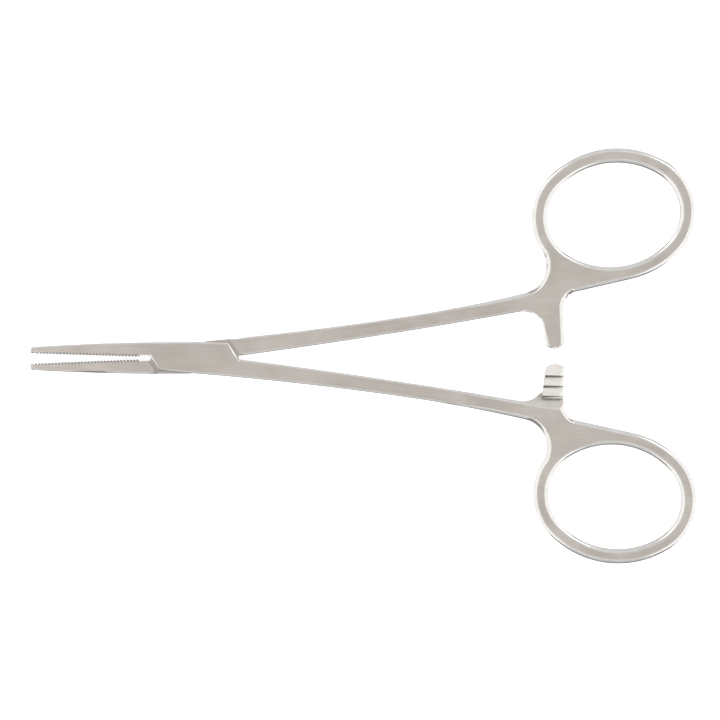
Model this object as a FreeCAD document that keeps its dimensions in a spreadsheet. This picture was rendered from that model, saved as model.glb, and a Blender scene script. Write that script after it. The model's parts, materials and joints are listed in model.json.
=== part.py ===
import FreeCAD, Part
import math
import os
import re
import Sketcher

# Straight haemostatic forceps: two forged halves crossing in a box lock, and the pin they turn on.
# Both halves are machined from the same blank. The blank lies in its own frame: the pivot at the
# origin, the middle of the thickness at z = 0, the jaws towards -X and the ring towards +X.
# The box half keeps the blank as it is. The tongue half is the blank turned over about X.
# The finished part lies with its underside at z = 0 and the pivot on the Z axis.

SIZES = {
    # lock
    "box_thickness": 3.6,
    "box_half_width": 2.95,
    "box_end_angle": 57.0,
    "box_front_reach": 7.3,
    "box_rear_reach": 6.45,
    "box_foot_depth": 2.6,
    "tongue_thickness": 1.2,
    "tongue_half_width": 2.6,
    "tongue_angle": 11.7,
    "tongue_face_clearance": 0.04,
    "tongue_side_clearance": 0.08,
    "shoulder_gap": 0.5,
    "pin_radius": 1.1,
    "pin_running_clearance": 0.03,
    "opening_at_rest": 3.6,
    "opening_at_most": 60.0,
    # jaw
    "jaw_length": 31.3,
    "jaw_tip_width": 1.13,
    "jaw_bow_radius": 430.0,
    "jaw_nose_radius": 0.7,
    "jaw_tip_thickness": 1.6,
    "serration_setback": 0.9,
    "serration_relief": 1.9,
    "serration_pitch": 0.61,
    "serration_depth": 0.25,
    "serration_crest_width": 0.08,
    "serration_clearance": 0.06,
    "bite_clearance": 0.03,
    "jaw_relief": 0.25,
    # shank
    "shank_knee": 40.0,
    "shank_knee_outer": 6.4,
    "shank_outer_radius": 630.0,
    "shank_flare_radius": 260.0,
    "shank_inner_root": 0.1,
    "shank_inner_end_depth": 7.1,
    "shank_inner_bow_radius": 1100.0,
    "shank_thickness": 2.6,
    "shank_neck_start": 9.0,
    "shank_neck_end": 33.0,
    # finger ring
    "ring_reach": 78.35,
    "ring_offset": 23.8,
    "ring_half_length": 15.15,
    "ring_half_width": 12.35,
    "ring_end_radius": 10.8,
    "ring_tilt": 5.2,
    "ring_band": 2.65,
    "ring_notch_radius": 5.3,
    # ratchet
    "ratchet_setback": 10.0,
    "ratchet_width": 3.4,
    "ratchet_tip": 0.7,
    "ratchet_tip_rise": 0.6,
    "ratchet_lean": 6.0,
    "ratchet_inner_blend": 3.8,
    "ratchet_outer_blend": 3.1,
    "ratchet_web_fall": 10.9,
    "ratchet_run_out": 1.0,
    "tooth_count": 3,
    "tooth_first": 2.2,
    "tooth_pitch": 1.9,
    "tooth_rise": 0.6,
    "tooth_crest": 0.25,
    "tooth_floor": 0.4,
    "tooth_undercut": 0.05,
    "tooth_end_bevel": 0.8,
    "ramp_length": 1.9,
    "shoulder_run": 13.4,
    "shoulder_angle": 8.7,
    # polished edges
    "edge_bevel": 0.35,
    "bite_bevel": 0.2,
    "ring_bevel": 0.8,
    "rim_flare_radius": 113.0,
    "rim_start": 42.0,
    "rim_margin": 0.05,
}

TOLERANCE = 0.01  # mm, within which a point lies on a line

doc = FreeCAD.newDocument("Haemostat")


def add_row(sheet, alias, content):
    row = 1 + sum(1 for cell in sheet.getUsedCells() if cell.startswith("B"))
    sheet.set("A%d" % row, alias)
    sheet.set("B%d" % row, content)
    sheet.setAlias("B%d" % row, alias)


sheet = doc.addObject("Spreadsheet::Sheet", "Sizes")
for alias, number in SIZES.items():
    add_row(sheet, alias, str(number))

# A second sheet works out the centres and touching points of the outline from the sizes.
plan = doc.addObject("Spreadsheet::Sheet", "Plan")
derived = set()


def linked(formula, inside_plan=False):
    """A formula in plain names, with each name led by its sheet."""
    def full_name(found):
        word = found.group()
        if word in SIZES:
            return "Sizes." + word
        return "Plan." + word if word in derived and not inside_plan else word
    return re.sub("[a-z_]+", full_name, formula)


def derive(name, formula):
    add_row(plan, name, "=" + linked(formula, inside_plan=True))
    derived.add(name)


def size(formula):
    """The present value of a formula."""
    value = plan.evalExpression(linked(formula, inside_plan=True))
    return float(getattr(value, "Value", value))


def bind(target, prop, formula):
    target.setExpression(prop, linked(formula))


def origin_plane(body, role):
    return next(item for item in body.Origin.OriginFeatures if item.Role == role)


def arc_through(start, end, radius, bulge):
    """An arc between two points. A positive bulge swells to the left of the way from start to end."""
    chord = end - start
    half = chord.Length / 2
    left = FreeCAD.Vector(-chord.y, chord.x, 0).normalize()
    rise = radius - math.sqrt(radius * radius - half * half)
    return Part.Arc(start, (start + end) / 2 + left * rise * bulge, end)


def sketch_on(body, label, role):
    sketch = body.newObject("Sketcher::SketchObject", label)
    sketch.AttachmentSupport = (origin_plane(body, role), "")
    sketch.MapMode = "FlatFace"
    return sketch


def add_loop(sketch, corners, curves=None):
    """A closed loop. Each corner is a pair of formulas. curves maps the edge that leaves a corner
    to (radius formula, bulge); every other edge is straight."""
    curves = curves or {}
    points = [FreeCAD.Vector(size(x), size(y), 0) for x, y in corners]
    ends = []
    for index, start in enumerate(points):
        end = points[(index + 1) % len(points)]
        if index in curves:
            radius, bulge = curves[index]
            edge = sketch.addGeometry(arc_through(start, end, size(radius), bulge), False)
            limit = sketch.addConstraint(Sketcher.Constraint("Radius", edge, size(radius)))
            bind(sketch, "Constraints[%d]" % limit, radius)
        else:
            edge = sketch.addGeometry(Part.LineSegment(start, end), False)
        starts_at = 1 if (sketch.getPoint(edge, 1) - start).Length < 1e-4 else 2
        ends.append((edge, starts_at, 3 - starts_at))
    for index, (x, y) in enumerate(corners):
        before, (edge, starts_at, _) = ends[index - 1], ends[index]
        sketch.addConstraint(Sketcher.Constraint("Coincident", before[0], before[2], edge, starts_at))
        for kind, formula in (("DistanceX", x), ("DistanceY", y)):
            distance = Sketcher.Constraint(kind, -1, 1, edge, starts_at, size(formula))
            bind(sketch, "Constraints[%d]" % sketch.addConstraint(distance), formula)


def pad(body, label, sketch, thickness):
    feature = body.newObject("PartDesign::Pad", label)
    feature.Profile = sketch
    feature.SideType = "Symmetric"
    bind(feature, "Length", thickness)
    return feature


def pocket(body, label, sketch, depth):
    """A cut that reaches depth / 2 to each side of its sketch."""
    feature = body.newObject("PartDesign::Pocket", label)
    feature.Profile = sketch
    feature.SideType = "Symmetric"
    bind(feature, "Length", depth)
    return feature


def is_upright(edge):
    foot, head = edge.firstVertex().Point, edge.lastVertex().Point
    return math.hypot(foot.x - head.x, foot.y - head.y) < 1e-4 < abs(foot.z - head.z)


def round_upright(body, label, x, y, radius):
    """Rounds the upright edge that stands nearest to a point of the plan."""
    doc.recompute()
    base = body.Tip
    corner = FreeCAD.Vector(size(x), size(y), 0)
    nearest = []
    for number, edge in enumerate(base.Shape.Edges, start=1):
        if is_upright(edge):
            foot = edge.Vertexes[0].Point
            nearest.append((math.hypot(foot.x - corner.x, foot.y - corner.y), number))
    feature = body.newObject("PartDesign::Fillet", label)
    feature.Base = (base, ["Edge%d" % min(nearest)[1]])
    bind(feature, "Radius", radius)


# The blank: one forging, the same for both halves.

def end_line_x(reach, height):
    """Where the slanting end of the box crosses a height of the plan."""
    return "((%s) - cos(box_end_angle) * (%s)) / sin(box_end_angle)" % (reach, height)


def place(name, x, y):
    derive(name + "_x", x)
    derive(name + "_y", y)


def spot(name):
    return name + "_x", name + "_y"


def span(start, end):
    return "sqrt((%s_x - %s_x)^2 + (%s_y - %s_y)^2)" % (end, start, end, start)


def place_towards(name, start, end, distance):
    """The point at a distance from start, on the way to end."""
    derive(name + "_span", span(start, end))
    way = "{0}_{3} + ({4}) * ({1}_{3} - {0}_{3}) / {2}_span"
    place(name, *(way.format(start, end, name, axis, distance) for axis in "xy"))


def place_bow_centre(name, start, end, radius):
    """The centre of the arc from start to end, to the right of that way."""
    derive(name + "_chord", span(start, end))
    derive(name + "_depth", "sqrt((%s)^2 - %s_chord^2 / 4)" % (radius, name))
    x = "({0}_x + {1}_x) / 2 + {2}_depth * ({1}_y - {0}_y) / {2}_chord"
    y = "({0}_y + {1}_y) / 2 - {2}_depth * ({1}_x - {0}_x) / {2}_chord"
    place(name, x.format(start, end, name), y.format(start, end, name))


def place_meeting(name, first, first_reach, second, second_reach):
    """The point at two given distances from two points, to the left of the way from first to second."""
    derive(name + "_gap", span(first, second))
    derive(name + "_along",
           "((%s)^2 - (%s)^2 + %s_gap^2) / (2 * %s_gap)" % (first_reach, second_reach, name, name))
    derive(name + "_aside", "sqrt((%s)^2 - %s_along^2)" % (first_reach, name))
    x = "{0}_x + ({2}_along * ({1}_x - {0}_x) - {2}_aside * ({1}_y - {0}_y)) / {2}_gap"
    y = "{0}_y + ({2}_along * ({1}_y - {0}_y) + {2}_aside * ({1}_x - {0}_x)) / {2}_gap"
    place(name, x.format(first, second, name), y.format(first, second, name))


def place_in_ring(name, along, across):
    """A point given along and across the tilted ring, from its middle."""
    place(name,
          "ring_reach + (%s) * cos(ring_tilt) + (%s) * sin(ring_tilt)" % (along, across),
          "(%s) * cos(ring_tilt) - ring_offset - (%s) * sin(ring_tilt)" % (across, along))


# The ring is an oval of four arcs: two ends and two flatter sides.
derive("ring_side_radius", "(ring_half_length^2 + ring_half_width^2 - 2 * ring_half_length * ring_end_radius)"
       " / (2 * (ring_half_width - ring_end_radius))")
place_in_ring("near_end", "ring_end_radius - ring_half_length", "0")
place_in_ring("far_end", "ring_half_length - ring_end_radius", "0")
place_in_ring("upper_bow", "0", "ring_half_width - ring_side_radius")
place_in_ring("lower_bow", "0", "ring_side_radius - ring_half_width")
OVAL_JOINTS = [
    ("upper_bow", "far_end"),
    ("lower_bow", "far_end"),
    ("lower_bow", "near_end"),
    ("upper_bow", "near_end"),
]
for wall, inset in (("outer", "0"), ("inner", "ring_band"), ("rim", "-rim_margin")):
    for side, end in OVAL_JOINTS:
        place_towards("%s_%s_%s" % (wall, side, end), side, end, "ring_side_radius - " + inset)

# The outer side of the shank: a long bow, a tighter flare, and the hollow above the ring.
place("foot", end_line_x("-box_front_reach", "-box_foot_depth"), "-box_foot_depth")
place("knee", "shank_knee", "-shank_knee_outer")
place_bow_centre("shank_bow", "foot", "knee", "shank_outer_radius")
place("flare", "shank_knee + (shank_bow_x - shank_knee) * shank_flare_radius / shank_outer_radius",
      "-shank_knee_outer + (shank_bow_y + shank_knee_outer) * shank_flare_radius / shank_outer_radius")
place_meeting("notch", "flare", "shank_flare_radius - ring_notch_radius",
              "near_end", "ring_end_radius + ring_notch_radius")
place_towards("flare_stop", "flare", "notch", "shank_flare_radius")
place_towards("notch_stop", "near_end", "notch", "ring_end_radius")

# The web from the ratchet bar runs straight onto the ring.
derive("ratchet_right", "ring_reach - ratchet_setback")
derive("ratchet_left", "ratchet_right - ratchet_width")
place("web_stop", "upper_bow_x + ring_side_radius * sin(ratchet_web_fall)",
      "upper_bow_y + ring_side_radius * cos(ratchet_web_fall)")
derive("hollow_x", "ratchet_right + ratchet_outer_blend")
derive("hollow_y", "web_stop_y + (web_stop_x - hollow_x) * tan(ratchet_web_fall)"
       " + ratchet_outer_blend / cos(ratchet_web_fall)")
place("web_start", "hollow_x - ratchet_outer_blend * sin(ratchet_web_fall)",
      "hollow_y - ratchet_outer_blend * cos(ratchet_web_fall)")

# The inner side of the shank is one long bow that turns up into the leaning side of the ratchet bar.
place("crotch", end_line_x("box_rear_reach", "-shank_inner_root"), "-shank_inner_root")
place("inner_end", "ratchet_left", "-shank_inner_end_depth")
place_bow_centre("inner_bow", "crotch", "inner_end", "shank_inner_bow_radius")
derive("shoulder_height", "ratchet_tip - ratchet_tip_rise")
place("offset", "ratchet_left - ratchet_inner_blend * cos(ratchet_lean) - inner_bow_x",
      "shoulder_height + ratchet_inner_blend * sin(ratchet_lean) - inner_bow_y")
derive("offset_fall", "offset_x * sin(ratchet_lean) + offset_y * cos(ratchet_lean)")
derive("lean_run", "offset_fall - sqrt(offset_fall^2 - offset_x^2 - offset_y^2"
       " + (shank_inner_bow_radius + ratchet_inner_blend)^2)")
place("armpit", "inner_bow_x + offset_x - lean_run * sin(ratchet_lean)",
      "inner_bow_y + offset_y - lean_run * cos(ratchet_lean)")
place("lean_stop", "ratchet_left - lean_run * sin(ratchet_lean)",
      "shoulder_height - lean_run * cos(ratchet_lean)")
place_towards("inner_stop", "inner_bow", "armpit", "shank_inner_bow_radius")
derive("tip_radius", "(ratchet_width^2 / 4 + ratchet_tip_rise^2) / (2 * ratchet_tip_rise)")

# The rim line runs a margin outside the outline, and leaves it along the shank in a tighter flare.
place_towards("rim_flare", "flare_stop", "flare", "rim_flare_radius")
place_towards("rim_flare_stop", "flare_stop", "flare", "rim_margin")
place_towards("rim_notch_stop", "near_end", "notch", "ring_end_radius + rim_margin")
derive("rim_start_y", "rim_flare_y + sqrt((rim_flare_radius - rim_margin)^2 - (rim_start - rim_flare_x)^2)")
place("rim_web_stop", "upper_bow_x + (ring_side_radius + rim_margin) * sin(ratchet_web_fall)",
      "upper_bow_y + (ring_side_radius + rim_margin) * cos(ratchet_web_fall)")
place("rim_web_start", "hollow_x - (ratchet_outer_blend - rim_margin) * sin(ratchet_web_fall)",
      "hollow_y - (ratchet_outer_blend - rim_margin) * cos(ratchet_web_fall)")

derive("rim_bevel", "ring_bevel + 2 * rim_margin")

derive("crest", "serration_clearance - serration_depth / 2")
derive("serration_start", "serration_setback - jaw_length")
derive("jaw_root", end_line_x("-box_front_reach", "jaw_relief"))
derive("serration_count", "floor((jaw_root - serration_relief - serration_start) / serration_pitch)")
derive("serration_end", "serration_start + serration_count * serration_pitch")
doc.recompute()

blank = doc.addObject("PartDesign::Body", "blank")
arm_plan = sketch_on(blank, "arm_plan", "XY_Plane")
add_loop(arm_plan, [
    ("serration_start", "crest"),
    ("serration_start", "bite_clearance"),
    ("-jaw_length", "bite_clearance"),
    ("-jaw_length", "jaw_tip_width"),
    ("0", "box_half_width"),
    (end_line_x("box_rear_reach", "box_half_width"), "box_half_width"),
    spot("crotch"),
    spot("inner_stop"),
    spot("lean_stop"),
    ("ratchet_left", "shoulder_height"),
    ("ratchet_right", "shoulder_height"),
    ("ratchet_right", "hollow_y"),
    spot("web_start"),
    spot("web_stop"),
    spot("outer_upper_bow_far_end"),
    spot("outer_lower_bow_far_end"),
    spot("outer_lower_bow_near_end"),
    spot("notch_stop"),
    spot("flare_stop"),
    spot("knee"),
    spot("foot"),
    ("jaw_root", "jaw_relief"),
    ("serration_end", "jaw_relief"),
    ("serration_end", "crest"),
], {
    3: ("jaw_bow_radius", 1),
    6: ("shank_inner_bow_radius", 1),
    7: ("ratchet_inner_blend", -1),
    9: ("tip_radius", 1),
    11: ("ratchet_outer_blend", -1),
    13: ("ring_side_radius", 1),
    14: ("ring_end_radius", 1),
    15: ("ring_side_radius", 1),
    16: ("ring_end_radius", 1),
    17: ("ring_notch_radius", -1),
    18: ("shank_flare_radius", -1),
    19: ("shank_outer_radius", -1),
})
pad(blank, "arm_bar", arm_plan, "box_thickness")
round_upright(blank, "nose", "-jaw_length", "jaw_tip_width", "jaw_nose_radius")

ring_opening = sketch_on(blank, "ring_opening", "XY_Plane")
add_loop(ring_opening, [spot("inner_%s_%s" % joint) for joint in OVAL_JOINTS], {
    0: ("ring_end_radius - ring_band", 1),
    1: ("ring_side_radius - ring_band", 1),
    2: ("ring_end_radius - ring_band", 1),
    3: ("ring_side_radius - ring_band", 1),
})
pocket(blank, "finger_opening", ring_opening, "2 * box_thickness")

# Seen from the side the box is thickest. The jaws taper away from it in one arc, the shanks in an S.
half_box = "(box_thickness / 2)"
half_shank = "(shank_thickness / 2)"
neck_middle = "((shank_neck_start + shank_neck_end) / 2)"
neck_radius = ("(((shank_neck_end - shank_neck_start)^2 / 4 + (box_thickness / 2 - shank_thickness / 2)^2 / 4)"
               " / (box_thickness / 2 - shank_thickness / 2))")
jaw_end = "(-jaw_length - 1)"
jaw_drop = "(box_thickness / 2 - jaw_tip_thickness / 2)"
taper_radius = "(((jaw_root - %s)^2 + %s^2) / (2 * %s))" % (jaw_end, jaw_drop, jaw_drop)
beyond = "(ring_reach + ring_half_length + 1)"
for label, way in (("upper_side", ""), ("lower_side", "-")):
    side = sketch_on(blank, label + "_profile", "XZ_Plane")
    bulge = 1 if way == "" else -1
    add_loop(side, [
        (jaw_end, "%s(jaw_tip_thickness / 2)" % way),
        ("jaw_root", way + half_box),
        ("shank_neck_start", way + half_box),
        (neck_middle, "%s(box_thickness + shank_thickness) / 4" % way),
        ("shank_neck_end", way + half_shank),
        (beyond, way + half_shank),
        (beyond, way + "box_thickness"),
        (jaw_end, way + "box_thickness"),
    ], {
        0: (taper_radius, bulge),
        2: (neck_radius, bulge),
        3: (neck_radius, -bulge),
    })
    pocket(blank, label, side, "4 * (ring_offset + ring_half_width)")
doc.recompute()


above_ratchet = "(ratchet_tip + 2)"


def faces_at(shape, edge):
    """How far each of the two faces that meet at an edge looks up or down, from 0 to 1."""
    middle = edge.valueAt((edge.FirstParameter + edge.LastParameter) / 2)
    for face in shape.ancestorsOfType(edge, Part.Face):
        u, v = face.Surface.parameter(middle)
        yield abs(face.normalAt(u, v).z)


def is_outer(shape, edge):
    """True for an edge between a flat and an upright flank."""
    slopes = sorted(faces_at(shape, edge))
    return len(slopes) == 2 and slopes[0] < 0.5 and slopes[1] > 0.5


def edge_ends(edge):
    return edge.firstVertex().Point, edge.lastVertex().Point


def is_inside_jaw(edge):
    """True along the inner side of the jaw."""
    return all(end.x < -size("box_front_reach") and end.y < size("jaw_relief") + TOLERANCE
               for end in edge_ends(edge))


def is_relief(edge):
    """True along the relief between the serrations and the box, which stays sharp."""
    return is_inside_jaw(edge) and min(end.y for end in edge_ends(edge)) > size("jaw_relief") - TOLERANCE


def is_bite(edge):
    """True along the bite of the jaw, from its tip to the end of the serrations."""
    return is_inside_jaw(edge) and not is_relief(edge)


def is_box_end(edge):
    """True along the slanting ends of the box."""
    start, end = edge_ends(edge)
    in_lock = max(abs(start.x), abs(end.x)) < 1.5 * size("box_front_reach")
    return in_lock and abs(end.y - start.y) > abs(end.x - start.x)


def is_rim(edge):
    """True round the rim of the core, but not where it is cut off along the shank and above the ratchet."""
    middle = edge.valueAt((edge.FirstParameter + edge.LastParameter) / 2)
    return middle.x > size("rim_start") + TOLERANCE and middle.y < size(above_ratchet) - TOLERANCE


def is_opening(edge):
    """True round the finger opening."""
    point = edge.firstVertex().Point
    along = (point.x - size("ring_reach")) / size("ring_half_length")
    across = (point.y + size("ring_offset")) / size("ring_half_width")
    return math.hypot(along, across) < 1 - size("ring_band") / (2 * size("ring_half_width"))


def bevel_edges(label, base, widths):
    """Bevels outer edges. Widths are pairs of a test for an edge and the size of its bevel."""
    doc.recompute()
    feature = doc.addObject("Part::Chamfer", label)
    feature.Base = base
    edges = []
    for number, edge in enumerate(base.Shape.Edges, start=1):
        width = next((size(name) for is_wanted, name in widths if is_wanted(edge)), 0)
        if width and is_outer(base.Shape, edge):
            edges.append((number, width, width))
    feature.Edges = edges
    return feature


# The bevel grows along the shank to its full width round the ring. A core with that wide bevel on its rim
# stands just outside the blank, and what lies between the core and a block round it is cut away.

rim_core = doc.addObject("PartDesign::Body", "rim_core")
rim_plan = sketch_on(rim_core, "rim_plan", "XY_Plane")
add_loop(rim_plan, [
    ("rim_start", "rim_start_y"),
    ("rim_start", above_ratchet),
    ("ratchet_right + rim_margin", above_ratchet),
    ("ratchet_right + rim_margin", "hollow_y"),
    spot("rim_web_start"),
    spot("rim_web_stop"),
    spot("rim_upper_bow_far_end"),
    spot("rim_lower_bow_far_end"),
    spot("rim_lower_bow_near_end"),
    spot("rim_notch_stop"),
    spot("rim_flare_stop"),
], {
    3: ("ratchet_outer_blend - rim_margin", -1),
    5: ("ring_side_radius + rim_margin", 1),
    6: ("ring_end_radius + rim_margin", 1),
    7: ("ring_side_radius + rim_margin", 1),
    8: ("ring_end_radius + rim_margin", 1),
    9: ("ring_notch_radius - rim_margin", -1),
    10: ("rim_flare_radius - rim_margin", -1),
})
pad(rim_core, "rim_bar", rim_plan, "shank_thickness + 2 * rim_margin")
rim_tool = bevel_edges("rim_tool", rim_core, [
    (is_rim, "rim_bevel"),
])

rim_block = doc.addObject("Part::Box", "rim_block")
bind(rim_block, "Length", beyond + " - rim_start")
bind(rim_block, "Width", "ring_offset + ring_half_width + 1 + ratchet_tip + 1")
bind(rim_block, "Height", "shank_thickness + rim_margin")
bind(rim_block, "Placement.Base.x", "rim_start")
bind(rim_block, "Placement.Base.y", "-ring_offset - ring_half_width - 1")
bind(rim_block, "Placement.Base.z", "-(shank_thickness + rim_margin) / 2")
rim_waste = doc.addObject("Part::Cut", "rim_waste")
rim_waste.Base = rim_block
rim_waste.Tool = rim_tool


def polish(label, is_sharp):
    """A blank with bevelled edges, apart from those that stay sharp."""
    polished = doc.addObject("Part::Cut", label)
    polished.Base = bevel_edges(label + "_edges", blank, [
        (is_opening, "ring_bevel"),
        (is_bite, "bite_bevel"),
        (lambda edge: not is_sharp(edge), "edge_bevel"),
    ])
    polished.Tool = rim_waste
    doc.recompute()
    return polished


# What both halves get after the forging: the ratchet teeth and the jaw serrations.

def half_from_blank(label, polished_blank):
    body = doc.addObject("PartDesign::Body", label)
    body.BaseFeature = polished_blank
    return body


floor_end = "(ratchet_tip - tooth_first - (tooth_count - 1) * tooth_pitch - tooth_undercut - tooth_floor)"
ramp_end = "(%s - ramp_length)" % floor_end


def cut_ratchet(body):
    """Saw teeth on the upper side of the ratchet bar, steep towards the ring, and a ramp down to them."""
    teeth = sketch_on(body, body.Label + "_ratchet_profile", "YZ_Plane")
    bind(teeth, "AttachmentOffset.Base.z", "(ratchet_left + ratchet_right) / 2")
    high, low = "shank_thickness", "(tooth_crest - tooth_rise)"
    corners = [("ratchet_tip + 1", high), ("ratchet_tip + 1", low), ("ratchet_tip", low)]
    for tooth in range(int(size("tooth_count"))):
        foot = "ratchet_tip - tooth_first - %d * tooth_pitch" % tooth
        corners += [(foot, "tooth_crest"), (foot + " - tooth_undercut", low)]
    corners += [
        (floor_end, low),
        (ramp_end, "shank_thickness / 2"),
        (ramp_end, high),
    ]
    add_loop(teeth, corners)
    pocket(body, body.Label + "_ratchet", teeth, "ratchet_right - ratchet_left + 2 * ratchet_run_out")

    shoulder = sketch_on(body, body.Label + "_shoulder_profile", "YZ_Plane")
    upright = FreeCAD.Vector(0, 1, 0)
    shoulder.AttachmentOffset = FreeCAD.Placement(FreeCAD.Vector(), FreeCAD.Rotation(upright, -1))
    bind(shoulder, "AttachmentOffset.Rotation.Angle", "-shoulder_angle")
    bind(shoulder, "AttachmentOffset.Base.x", "%s + shoulder_run / 2 * sin(shoulder_angle)" % ramp_end)
    bind(shoulder, "AttachmentOffset.Base.z",
         "ratchet_left - ratchet_run_out - shoulder_run / 2 * cos(shoulder_angle)")
    add_loop(shoulder, [
        ("0", "shank_thickness / 2"),
        ("2 * ramp_length", "shank_thickness / 2 - 2 * (shank_thickness / 2 - %s)" % low),
        ("2 * ramp_length", high),
        ("0", high),
    ])
    pocket(body, body.Label + "_shoulder", shoulder, "shoulder_run")

    side = sketch_on(body, body.Label + "_tooth_end_profile", "XZ_Plane")
    bind(side, "AttachmentOffset.Base.z", "-(ratchet_tip + 1 + %s) / 2" % floor_end)
    add_loop(side, [
        ("ratchet_right", low),
        ("ratchet_right - tooth_end_bevel", "tooth_crest"),
        ("ratchet_right - tooth_end_bevel", high),
        ("ratchet_right + 1", high),
        ("ratchet_right + 1", low),
    ])
    pocket(body, body.Label + "_tooth_ends", side, "ratchet_tip + 1 - %s" % floor_end)


def cut_serrations(body, shift, count):
    """Fine grooves across the bite of the jaw, shifted by a share of their pitch."""
    groove = sketch_on(body, body.Label + "_groove_profile", "XY_Plane")
    start = "(serration_start + (%s) * serration_pitch)" % shift
    foot = "(crest - 0.5 * (serration_depth - serration_clearance))"
    half_foot = "((serration_pitch - serration_crest_width) * 0.75)"
    middle = "(%s + serration_pitch / 2)" % start
    add_loop(groove, [
        ("%s - %s" % (middle, half_foot), foot),
        (middle, "crest + serration_depth - serration_clearance"),
        ("%s + %s" % (middle, half_foot), foot),
    ])
    first = pocket(body, body.Label + "_groove", groove, "2 * box_thickness")
    row = body.newObject("PartDesign::LinearPattern", body.Label + "_serrations")
    row.Originals = [first]
    row.Direction = (groove, ["H_Axis"])
    row.Mode = "Spacing"
    bind(row, "Offset", "serration_pitch")
    bind(row, "Occurrences", count)
    body.Tip = row
    return row


def round_hole(body, label, radius):
    bore = sketch_on(body, label + "_plan", "XY_Plane")
    outline = Part.Circle(FreeCAD.Vector(0, 0, 0), FreeCAD.Vector(0, 0, 1), size(radius))
    circle = bore.addGeometry(outline, False)
    bore.addConstraint(Sketcher.Constraint("Coincident", circle, 3, -1, 1))
    limit = bore.addConstraint(Sketcher.Constraint("Radius", circle, size(radius)))
    bind(bore, "Constraints[%d]" % limit, radius)
    pocket(body, label, bore, "2 * box_thickness")


def point_on_side(angle, offset, reach, way):
    """The point of a line, parallel to an angle and offset to its left, at a distance from the pivot."""
    along = "%s * sqrt((%s)^2 - (%s)^2)" % (way, reach, offset)
    x = "%s * cos(%s) - (%s) * sin(%s)" % (along, angle, offset, angle)
    y = "%s * sin(%s) + (%s) * cos(%s)" % (along, angle, offset, angle)
    return x, y


# The box half: a slot through the middle of the box, wide enough for the tongue to swing in.

box_half = half_from_blank("box_half", polish("box_blank", is_relief))
closed, opened = "tongue_angle", "(tongue_angle + opening_at_most)"
slot_side = "(tongue_half_width + tongue_side_clearance)"
wedge_tip = "(%s / cos(opening_at_most / 2))" % slot_side
wedge_way = "(90 + tongue_angle + opening_at_most / 2)"
jaw_reach = "(box_front_reach / sin(box_end_angle) + tongue_side_clearance)"
shank_reach = "(box_rear_reach / sin(box_end_angle) + tongue_side_clearance)"
slot_plan = sketch_on(box_half, "slot_plan", "XY_Plane")
add_loop(slot_plan, [
    point_on_side(closed, slot_side, jaw_reach, "-1"),
    ("%s * cos(%s)" % (wedge_tip, wedge_way), "%s * sin(%s)" % (wedge_tip, wedge_way)),
    point_on_side(opened, slot_side, shank_reach, "1"),
    point_on_side(closed, "(-%s)" % slot_side, shank_reach, "1"),
    ("-%s * cos(%s)" % (wedge_tip, wedge_way), "-%s * sin(%s)" % (wedge_tip, wedge_way)),
    point_on_side(opened, "(-%s)" % slot_side, jaw_reach, "-1"),
], {2: (shank_reach, 1), 5: (jaw_reach, 1)})
pocket(box_half, "slot", slot_plan, "tongue_thickness + 2 * tongue_face_clearance")
round_hole(box_half, "pin_seat", "pin_radius")
cut_ratchet(box_half)
cut_serrations(box_half, "0", "serration_count")

# The tongue half: between its shoulders only the tongue is left, which runs through the slot.

tongue_half = half_from_blank("tongue_half", polish(
    "tongue_blank", lambda edge: is_relief(edge) or is_box_end(edge)))


def shoulder_point(reach, offset):
    """A point on a shoulder line, at an offset from the middle line of the tongue."""
    slide = "((%s + (%s) * cos(box_end_angle + tongue_angle)) / sin(box_end_angle + tongue_angle))" % (
        offset, reach)
    x = "(%s) * sin(box_end_angle) + %s * cos(box_end_angle)" % (reach, slide)
    y = "%s * sin(box_end_angle) - (%s) * cos(box_end_angle)" % (slide, reach)
    return x, y


jaw_shoulder = "(-box_front_reach - shoulder_gap)"
shank_shoulder = "(box_rear_reach + shoulder_gap)"
clear_of_box = "(3 * box_half_width)"
for label, way in (("left", "1"), ("right", "-1")):
    flank = sketch_on(tongue_half, "tongue_%s_plan" % label, "XY_Plane")
    near, far = "%s * tongue_half_width" % way, "%s * %s" % (way, clear_of_box)
    add_loop(flank, [
        shoulder_point(jaw_shoulder, near),
        shoulder_point(shank_shoulder, near),
        shoulder_point(shank_shoulder, far),
        shoulder_point(jaw_shoulder, far),
    ])
    pocket(tongue_half, "tongue_%s" % label, flank, "2 * box_thickness")
for label, way in (("upper", "1"), ("lower", "-1")):
    face = sketch_on(tongue_half, "tongue_%s_plan" % label, "XY_Plane")
    bind(face, "AttachmentOffset.Base.z", "%s * (tongue_thickness + box_thickness) / 2" % way)
    add_loop(face, [
        shoulder_point(jaw_shoulder, clear_of_box),
        shoulder_point(jaw_shoulder, "(-%s)" % clear_of_box),
        shoulder_point(shank_shoulder, "(-%s)" % clear_of_box),
        shoulder_point(shank_shoulder, clear_of_box),
    ])
    pocket(tongue_half, "tongue_%s" % label, face, "box_thickness")
round_hole(tongue_half, "pin_bore", "pin_radius + pin_running_clearance")
cut_ratchet(tongue_half)
cut_serrations(tongue_half, "-0.5", "serration_count + 1")

# The pin: pressed in the walls of the box and ground flush with both faces.

hinge_pin = doc.addObject("Part::Cylinder", "hinge_pin")
bind(hinge_pin, "Radius", "pin_radius")
bind(hinge_pin, "Height", "box_thickness")

# At rest the halves stand open as the real one lies, each by half of the opening.

bind(box_half, "Placement.Base.z", "box_thickness / 2")
bind(box_half, "Placement.Rotation.Angle", "-opening_at_rest / 2")
bind(tongue_half, "Placement.Base.z", "box_thickness / 2")
tongue_half.Placement.Rotation = FreeCAD.Rotation(FreeCAD.Vector(1, 0, 0), 180)
bind(tongue_half, "Placement.Rotation.Axis.x", "cos(opening_at_rest / 4)")
bind(tongue_half, "Placement.Rotation.Axis.y", "sin(opening_at_rest / 4)")
doc.recompute()

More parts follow.
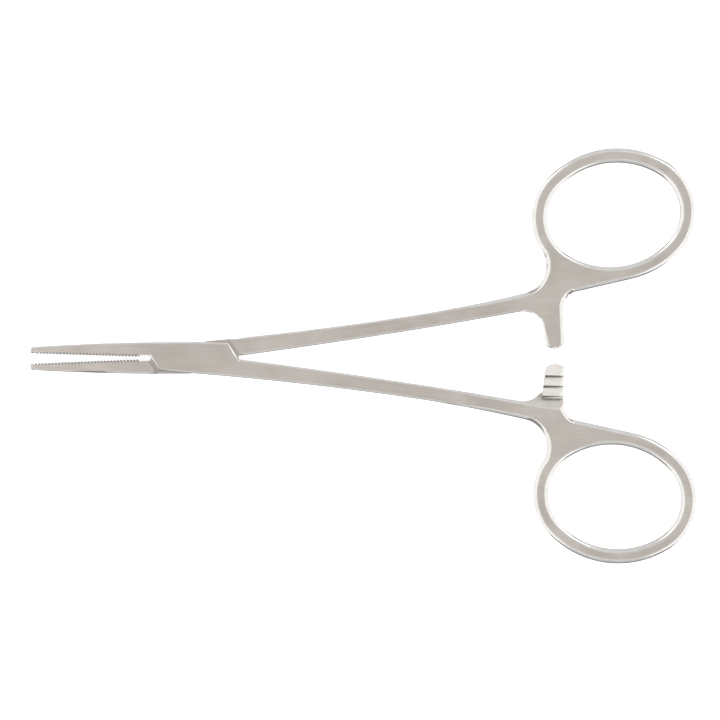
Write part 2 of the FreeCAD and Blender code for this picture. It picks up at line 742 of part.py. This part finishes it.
pieces = [box_half, tongue_half, hinge_pin]
for item in doc.Objects:
    if "Invalid" in item.State or "Error" in item.State:
        raise RuntimeError("%s did not build: %s" % (item.Label, item.State))
for piece in pieces:
    if piece.Shape.isNull() or not piece.Shape.isValid():
        raise RuntimeError("%s has no valid shape" % piece.Label)
os.makedirs("parts", exist_ok=True)
for piece in pieces:
    piece.Shape.exportStep("parts/%s.step" % piece.Label)
    print(piece.Label, len(piece.Shape.Solids), round(piece.Shape.Volume, 1))
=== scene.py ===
import json
import math
import bpy
import bmesh
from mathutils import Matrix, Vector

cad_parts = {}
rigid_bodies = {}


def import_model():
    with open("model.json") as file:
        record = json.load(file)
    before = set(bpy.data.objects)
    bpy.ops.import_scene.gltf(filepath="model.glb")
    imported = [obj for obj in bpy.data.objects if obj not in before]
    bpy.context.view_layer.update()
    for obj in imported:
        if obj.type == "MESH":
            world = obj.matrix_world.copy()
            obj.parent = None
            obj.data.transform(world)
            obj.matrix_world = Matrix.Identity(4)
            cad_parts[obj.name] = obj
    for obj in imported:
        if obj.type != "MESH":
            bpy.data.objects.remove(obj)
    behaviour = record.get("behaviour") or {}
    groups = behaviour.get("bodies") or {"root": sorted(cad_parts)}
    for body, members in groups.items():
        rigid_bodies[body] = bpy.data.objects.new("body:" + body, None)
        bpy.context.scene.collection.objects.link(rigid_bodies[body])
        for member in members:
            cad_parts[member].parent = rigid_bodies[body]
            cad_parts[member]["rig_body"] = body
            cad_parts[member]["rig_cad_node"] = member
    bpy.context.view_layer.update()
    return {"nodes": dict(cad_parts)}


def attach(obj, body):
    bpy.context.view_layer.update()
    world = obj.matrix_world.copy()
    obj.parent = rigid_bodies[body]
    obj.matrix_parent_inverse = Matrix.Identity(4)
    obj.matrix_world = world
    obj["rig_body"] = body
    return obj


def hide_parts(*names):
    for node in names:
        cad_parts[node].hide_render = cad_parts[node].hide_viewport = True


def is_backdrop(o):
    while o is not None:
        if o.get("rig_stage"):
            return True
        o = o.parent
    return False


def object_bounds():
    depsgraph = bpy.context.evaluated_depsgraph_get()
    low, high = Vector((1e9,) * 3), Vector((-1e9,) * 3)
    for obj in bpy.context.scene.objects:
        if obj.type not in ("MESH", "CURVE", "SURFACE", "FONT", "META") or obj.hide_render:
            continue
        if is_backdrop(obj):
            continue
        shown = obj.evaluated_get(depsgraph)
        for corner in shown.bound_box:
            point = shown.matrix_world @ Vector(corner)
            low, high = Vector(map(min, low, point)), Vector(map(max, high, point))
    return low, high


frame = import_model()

# Straight haemostatic forceps in satin stainless steel with polished edges, seen from straight above.
# The frame has the pivot on the Z axis and the underside on the floor. Sizes are in metres.

mm = 0.001
print("frame loaded:", sorted(frame["nodes"]))


def linear(hexColour):
    channels = [int(hexColour[i:i + 2], 16) / 255 for i in (1, 3, 5)]
    return [c / 12.92 if c <= 0.04045 else ((c + 0.055) / 1.055) ** 2.4 for c in channels] + [1.0]


def addNode(material, kind, links=None, values=None, **settings):
    node = material.node_tree.nodes.new(kind)
    for name, value in settings.items():
        setattr(node, name, value)
    for socket, value in (values or {}).items():
        node.inputs[socket].default_value = value
    for socket, source in (links or {}).items():
        material.node_tree.links.new(source, node.inputs[socket])
    return node


def makeActive(piece):
    bpy.ops.object.select_all(action="DESELECT")
    piece.select_set(True)
    bpy.context.view_layer.objects.active = piece


# Finishes. All are the same stainless steel. Three are worked in different ways, and the fourth is painted
# shade, dark where shade falls in the bite grooves and on the backs of the ratchet teeth.

satin = {
    "lightColour": "#CFC8C1",   # warm grey of fine satin steel
    "darkColour": "#C4BDB5",    # the same where the belt bit a little deeper
    "roughness": (0.30, 0.40),
    "cloudSize": 7 * mm,        # soft patches left by the belt
    "grainLength": 5 * mm,      # belt lines run along the instrument
    "grainWidth": 0.25 * mm,    # real lines are ten times finer, and wouldn't show
    "grainDepth": 0.002 * mm,
}
polish = {
    "lightColour": "#E3E1DE",   # neutral, nearly a mirror
    "darkColour": "#D8D5D1",
    "roughness": (0.10, 0.18),
    "cloudSize": 3 * mm,
    "grainLength": 2 * mm,
    "grainWidth": 0.4 * mm,
    "grainDepth": 0.001 * mm,
}
ground = {
    "lightColour": "#F1EDE8",   # fresh cut by the milling cutter, a shade lighter than the satin
    "darkColour": "#E6E1DB",
    "roughness": (0.34, 0.44),
    "cloudSize": 2 * mm,
    "grainLength": 1.5 * mm,
    "grainWidth": 0.2 * mm,
    "grainDepth": 0.002 * mm,
}
# Painted shade, not a finish of its own: the sawn faces of the bite grooves and the steep backs of the
# ratchet teeth are painted dark for the shade that falls in them.
sawn = {
    "lightColour": "#8A8681",   # painted shade: darker than bare steel, so that the teeth read as dots from above
    "darkColour": "#6C6864",
    "roughness": (0.35, 0.45),
    "cloudSize": 1 * mm,
    "grainLength": 0.5 * mm,
    "grainWidth": 0.2 * mm,
    "grainDepth": 0.002 * mm,
}
texture = {
    "cloudDetail": 3.0,
    "cloudRoughness": 0.55,
    "grainDetail": 4.0,
    "grainRoughness": 0.6,
    "toneRange": (0.15, 0.38),  # where clouds times grain turn from the dark colour to the light one
    "dullRange": (0.3, 0.7),    # where the clouds turn from the smooth end of the roughness to the dull one
}


def steel(name, finish):
    material = bpy.data.materials.new(name)
    material.use_nodes = True
    shader = material.node_tree.nodes["Principled BSDF"]
    shader.inputs["Metallic"].default_value = 1.0
    place = addNode(material, "ShaderNodeTexCoord").outputs["Object"]
    clouds = addNode(material, "ShaderNodeTexNoise", {"Vector": place},
                     {"Scale": 1 / finish["cloudSize"], "Detail": texture["cloudDetail"],
                      "Roughness": texture["cloudRoughness"]})
    across = 1 / finish["grainWidth"]
    stretch = addNode(material, "ShaderNodeMapping", {"Vector": place},
                      {"Scale": (1 / finish["grainLength"], across, across)})
    grain = addNode(material, "ShaderNodeTexNoise", {"Vector": stretch.outputs["Vector"]},
                    {"Scale": 1.0, "Detail": texture["grainDetail"], "Roughness": texture["grainRoughness"]})
    both = addNode(material, "ShaderNodeMath", {0: clouds.outputs["Fac"], 1: grain.outputs["Fac"]},
                   operation="MULTIPLY")
    tone = addNode(material, "ShaderNodeMapRange", {"Value": both.outputs["Value"]},
                   {"From Min": texture["toneRange"][0], "From Max": texture["toneRange"][1]})
    colour = addNode(material, "ShaderNodeMix", {"Factor": tone.outputs["Result"]}, data_type="RGBA")
    colour.inputs["A"].default_value = linear(finish["darkColour"])
    colour.inputs["B"].default_value = linear(finish["lightColour"])
    dull = addNode(material, "ShaderNodeMapRange", {"Value": clouds.outputs["Fac"]},
                   {"From Min": texture["dullRange"][0], "From Max": texture["dullRange"][1],
                    "To Min": finish["roughness"][0], "To Max": finish["roughness"][1]})
    lines = addNode(material, "ShaderNodeBump", {"Height": grain.outputs["Fac"]},
                    {"Distance": finish["grainDepth"], "Strength": 1.0})
    material.node_tree.links.new(colour.outputs["Result"], shader.inputs["Base Color"])
    material.node_tree.links.new(dull.outputs["Result"], shader.inputs["Roughness"])
    material.node_tree.links.new(lines.outputs["Normal"], shader.inputs["Normal"])
    return material


finishes = [
    steel("satin_stainless_steel", satin),      # belt-ground flats: soft wide reflections
    steel("polished_stainless_steel", polish),  # buffed edges: thin bright and dark lines
    steel("ground_stainless_steel", ground),    # ratchet teeth: clean light cut metal
    steel("painted_shade_steel", sawn),        # painted shade on the bite of the jaws and the backs of the ratchet teeth: dark
]
satinSlot, polishedSlot, groundSlot, paintedShadeSlot = range(4)
print("finishes made")


# The halves. The frame's facets are merged in a copy, so that bevels shade evenly.
# teethUp is 1 where the ratchet teeth look up and the jaw bites towards -Y, -1 where both are turned over,
# and 0 on the pin.

halves = {
    "box_half": {"piece": "box_half_steel", "body": "box_side", "teethUp": 1},
    "tongue_half": {"piece": "tongue_half_steel", "body": "tongue_side", "teethUp": -1},
    "hinge_pin": {"piece": "hinge_pin_steel", "body": "box_side", "teethUp": 0},
}
facets = {
    "mergeDistance": 0.001 * mm,
    "smoothUpTo": math.radians(56),
    "flatNormal": 0.985,        # the least upward part of a normal that still counts as a flat
    "flankNormal": 0.2,         # the most that still counts as an upright flank
    "sharpAngle": math.radians(14),  # on the cut faces of the teeth and grooves, all above this is crisp
}
ratchet = {
    "fromX": 59.0 * mm,
    "toX": 68.6 * mm,
    "fromY": 1.0 * mm,
    "toY": 9.6 * mm,
    "sideNormal": 0.35,         # the bevel on the side of the bar looks along X more than this
    "wornBack": 0.36 * mm,      # how far the foot of each worn tooth lies behind its crest
    "backNormal": 0.6,          # a sloped back looks away from the other half more than this
    "uprightNormal": 0.95,      # a back before it is sloped
    "upNormal": 0.3,            # cut faces of the bar look up more than this
    "middle": 1.8 * mm,         # half of the thickness of the box
    "shankHalf": 1.3 * mm,      # half of the thickness of the shanks
    "sunk": 0.02 * mm,          # a cut face lies at least this far below the flat of the shank
    "footHeight": 0.02 * mm,    # corners this near to the lowest one belong to the foot
}
serrations = {
    "fromX": -30.6 * mm,
    "toX": -10.7 * mm,
    "biteNormal": 0.3,          # faces of the bite look at the other jaw more than this
    "deeper": 0.28 * mm,        # sawn below the bevelled edge, so that the teeth stand apart
    "halfWidth": 0.29 * mm,     # of a groove at the crests
    "firstDepth": 0.2 * mm,     # from the crests to the first bottom of a groove
    "outside": 0.215 * mm,      # from the first bottom to just past the crests
    "hollowAngle": -1.0,        # radians: two flanks that meet in a groove turn inwards more than this
    "sawFromZ": -1 * mm,
    "sawToZ": 5 * mm,
}


def kindOf(face):
    lift = abs(face.normal.z)
    if lift > facets["flatNormal"]:
        return "flat"
    return "flank" if lift < facets["flankNormal"] else "bevel"


def isOnBar(middle, teethUp):
    return (ratchet["fromX"] < middle.x < ratchet["toX"]
            and ratchet["fromY"] < -teethUp * middle.y < ratchet["toY"])


def isInBite(place):
    return serrations["fromX"] < place.x < serrations["toX"]


def isBitten(face, teethUp):
    looksAcross = -teethUp * face.normal.y > serrations["biteNormal"]
    return isInBite(face.calc_center_median()) and kindOf(face) != "flat" and looksAcross


def isToothBack(face, teethUp):
    return isOnBar(face.calc_center_median(), teethUp) and -teethUp * face.normal.y > ratchet["backNormal"]


def isGround(face, teethUp):
    middle = face.calc_center_median()
    isSunk = ratchet["shankHalf"] - teethUp * (middle.z - ratchet["middle"]) > ratchet["sunk"]
    looksUp = teethUp * face.normal.z > ratchet["upNormal"] and abs(face.normal.x) < ratchet["sideNormal"]
    return isOnBar(middle, teethUp) and isSunk and looksUp


def finishOf(face, teethUp):
    # painted shade: the bite grooves and the backs of the ratchet teeth get the dark steel, for the shade
    # that falls in them
    if teethUp and (isBitten(face, teethUp) or isToothBack(face, teethUp)):
        return paintedShadeSlot
    if isGround(face, teethUp):
        return groundSlot
    return polishedSlot if kindOf(face) == "bevel" else satinSlot


def mergeCorners(alsoSlivers):
    bpy.ops.object.mode_set(mode="EDIT")
    bpy.ops.mesh.select_all(action="SELECT")
    bpy.ops.mesh.remove_doubles(threshold=facets["mergeDistance"])
    if alsoSlivers:
        bpy.ops.mesh.dissolve_degenerate(threshold=facets["mergeDistance"])
    bpy.ops.object.mode_set(mode="OBJECT")


def slopeTeeth(steelMesh, teethUp):
    feet = set()
    for face in steelMesh.faces:
        middle = face.calc_center_median()
        isUpper = teethUp * (middle.z - ratchet["middle"]) > 0
        isBack = -teethUp * face.normal.y > ratchet["uprightNormal"]
        if isUpper and isBack and isOnBar(middle, teethUp):
            foot = min(teethUp * corner.co.z for corner in face.verts) + ratchet["footHeight"]
            feet.update(corner for corner in face.verts if teethUp * corner.co.z < foot)
    for corner in feet:
        corner.co.y -= teethUp * ratchet["wornBack"]
    steelMesh.normal_update()


def findBottoms(piece):
    steelMesh = bmesh.new()
    steelMesh.from_mesh(piece.data)
    hollows = []
    for edge in steelMesh.edges:
        place = (edge.verts[0].co + edge.verts[1].co) / 2
        isUpright = all(kindOf(face) == "flank" for face in edge.link_faces)
        if isInBite(place) and isUpright and edge.calc_face_angle_signed(0) < serrations["hollowAngle"]:
            hollows.append(place)
    steelMesh.free()
    bottoms = []
    apart = serrations["outside"] + serrations["deeper"]
    for place in sorted(hollows, key=lambda place: place.x):
        if not bottoms or place.x - bottoms[-1].x > apart:
            bottoms.append(place)
    return bottoms


def sawGrooves(piece, teethUp):
    bottoms = findBottoms(piece)
    saw = bmesh.new()
    wide = (serrations["halfWidth"] * (serrations["outside"] + serrations["deeper"])
            / (serrations["firstDepth"] + serrations["deeper"]))
    for place in bottoms:
        corners = [(place.x, place.y + teethUp * serrations["deeper"]),
                   (place.x - wide, place.y - teethUp * serrations["outside"]),
                   (place.x + wide, place.y - teethUp * serrations["outside"])]
        low, high = [[saw.verts.new((x, y, z)) for x, y in corners]
                     for z in (serrations["sawFromZ"], serrations["sawToZ"])]
        saw.faces.new(low)
        saw.faces.new(high)
        for i in range(3):
            saw.faces.new((low[i], low[i - 1], high[i - 1], high[i]))
    bmesh.ops.recalc_face_normals(saw, faces=saw.faces)
    blades = bpy.data.meshes.new("saw_blades")
    saw.to_mesh(blades)
    saw.free()
    cutter = bpy.data.objects.new("saw_blades", blades)
    bpy.context.collection.objects.link(cutter)
    cut = piece.modifiers.new("deeper_grooves", "BOOLEAN")
    cut.operation = "DIFFERENCE"
    cut.solver = "MANIFOLD"
    cut.object = cutter
    makeActive(piece)
    bpy.ops.object.modifier_apply(modifier=cut.name)
    mergeCorners(True)
    bpy.data.objects.remove(cutter)
    bpy.data.meshes.remove(blades)
    print(len(bottoms), "grooves sawn in", piece.name)


def dressNode(nodeName, half):
    makeActive(frame["nodes"][nodeName])
    bpy.ops.object.duplicate()
    piece = bpy.context.object
    piece.name = half["piece"]
    piece.data.name = half["piece"]
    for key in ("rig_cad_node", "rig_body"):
        if key in piece:
            del piece[key]
    mergeCorners(False)
    teethUp = half["teethUp"]
    if teethUp:
        sawGrooves(piece, teethUp)
    piece.data.materials.clear()
    for finish in finishes:
        piece.data.materials.append(finish)
    bpy.ops.object.shade_smooth_by_angle(angle=facets["smoothUpTo"])
    steelMesh = bmesh.new()
    steelMesh.from_mesh(piece.data)
    if teethUp:
        slopeTeeth(steelMesh, teethUp)
    for face in steelMesh.faces:
        face.material_index = finishOf(face, teethUp)
    for edge in steelMesh.edges:
        kinds = {kindOf(face) for face in edge.link_faces}
        slots = {face.material_index for face in edge.link_faces}
        isCut = max(slots) >= groundSlot
        isCrisp = len(slots) > 1 or edge.calc_face_angle(0) > facets["sharpAngle"]
        if "flank" in kinds and len(kinds) > 1:
            edge.smooth = False         # a crisp outer line, while the bevel rolls into the flat
        if isCut and isCrisp:
            edge.smooth = False
    for face in steelMesh.faces:
        face.select_set(kindOf(face) == "flat")
    steelMesh.to_mesh(piece.data)
    steelMesh.free()
    bpy.ops.object.mode_set(mode="EDIT")
    bpy.ops.mesh.mod_weighted_strength(set=True, face_strength="STRONG")
    bpy.ops.object.mode_set(mode="OBJECT")
    weighted = piece.modifiers.new("flat_faces_lead", "WEIGHTED_NORMAL")
    weighted.mode = "FACE_AREA"
    weighted.keep_sharp = True
    weighted.use_face_influence = True
    bpy.ops.object.modifier_apply(modifier=weighted.name)
    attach(piece, half["body"])
    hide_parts(nodeName)


for nodeName, half in halves.items():
    dressNode(nodeName, half)
print("halves and pin dressed")


# The studio: a white light table, a wide overhead light, tall soft lights left and right, smaller ones near
# and far.

studio = {
    "viewCentre": (30.27 * mm, -0.55 * mm),
    "viewWidth": 133.7 * mm,
    "lens": 200.0,
    "sensor": 36.0,
    "roll": math.radians(-0.258),
    "floorSize": 3.0,
    "floorColour": "#F4F4F3",
    "floorRoughness": 0.9,
    "floorGlow": 0.9,           # a light table: no shadow is left round the steel
    "roomColour": "#9E9E9E",
    "roomStrength": 1.0,
    "clipStart": 0.01,
}
softboxes = {
    "overhead": {"place": (0.03, 0.0, 1.6), "width": 1.3, "height": 1.3, "power": 2.2},
    "left": {"place": (-0.9, 0.0, 0.55), "width": 2.4, "height": 1.7, "power": 12.0},
    "right": {"place": (0.96, 0.0, 0.55), "width": 2.4, "height": 1.7, "power": 12.0},
    "near": {"place": (0.03, -0.8, 0.9), "width": 1.2, "height": 1.1, "power": 1.8},
    "far": {"place": (0.03, 0.85, 0.55), "width": 1.4, "height": 1.4, "power": 3.2},
}

bpy.ops.mesh.primitive_plane_add(size=studio["floorSize"], location=(studio["viewCentre"][0], 0, 0))
floor = bpy.context.object
floor.name = "floor"
paper = bpy.data.materials.new("matt_white_paper")
paper.use_nodes = True
paperShader = paper.node_tree.nodes["Principled BSDF"]
paperShader.inputs["Base Color"].default_value = linear(studio["floorColour"])
paperShader.inputs["Roughness"].default_value = studio["floorRoughness"]
paperShader.inputs["Emission Color"].default_value = linear(studio["floorColour"])
paperShader.inputs["Emission Strength"].default_value = studio["floorGlow"]
floor.visible_glossy = False        # the steel mirrors the dim room below its edges, and not the white paper
floor.data.materials.append(paper)
floor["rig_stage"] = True

aim = (studio["viewCentre"][0], studio["viewCentre"][1], 0)
for name, box in softboxes.items():
    bpy.ops.object.light_add(type="AREA", location=box["place"])
    lamp = bpy.context.object
    lamp.name = name + "_softbox"
    lamp.data.shape = "RECTANGLE"
    lamp.data.size = box["width"]
    lamp.data.size_y = box["height"]
    lamp.data.energy = box["power"]
    lamp.visible_camera = False
    away = lamp.location - type(lamp.location)(aim)
    lamp.rotation_euler = away.to_track_quat("Z", "Y").to_euler()

room = bpy.data.worlds.new("room")
bpy.context.scene.world = room
room.use_nodes = True
backdrop = room.node_tree.nodes["Background"]
backdrop.inputs["Color"].default_value = linear(studio["roomColour"])
backdrop.inputs["Strength"].default_value = studio["roomStrength"]
bpy.context.scene.view_settings.view_transform = "Standard"

distance = studio["viewWidth"] * studio["lens"] / studio["sensor"]
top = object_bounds()[1].z
bpy.ops.object.camera_add(location=(aim[0], aim[1], top + distance), rotation=(0, 0, studio["roll"]))
camera = bpy.context.object
camera.name = "camera"
camera.data.lens = studio["lens"]
camera.data.sensor_width = studio["sensor"]
camera.data.clip_start = studio["clipStart"]
bpy.context.scene.camera = camera
print("studio lit")
